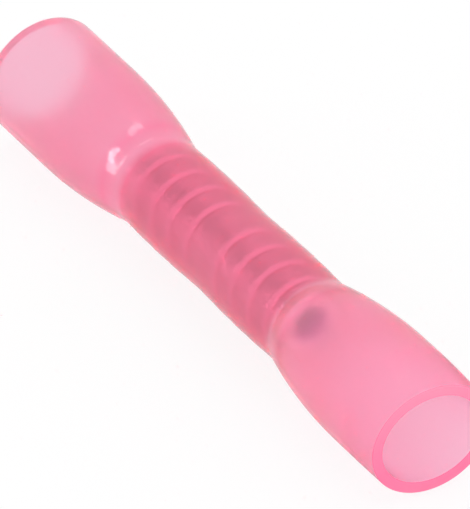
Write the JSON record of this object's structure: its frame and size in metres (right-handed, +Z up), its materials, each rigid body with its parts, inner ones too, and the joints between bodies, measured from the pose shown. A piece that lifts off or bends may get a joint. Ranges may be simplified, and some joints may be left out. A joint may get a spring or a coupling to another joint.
{
  "type": "heat shrink butt connector",
  "caption": "Straight wire splice: a ringed metal crimp barrel held in the neck of a translucent heat-shrink sleeve with a wide bell at each end.",
  "frame": {"origin": "middle of the barrel, on the common axis of barrel and sleeve", "axes": "+X along the connector towards the mouth that is pressed slightly flat, +Z up as the connector lies, +Y across"},
  "size_m": [0.036, 0.0064, 0.0062],
  "materials": {
    "shrink_tube": "translucent pink, satin, slightly milky",
    "tinned_copper": "dull tin plate over copper, drawn and rolled"
  },
  "bodies": {
    "root": {"shrink_sleeve": "shrink_tube", "crimp_barrel": "tinned_copper"}
  },
  "joints": []
}
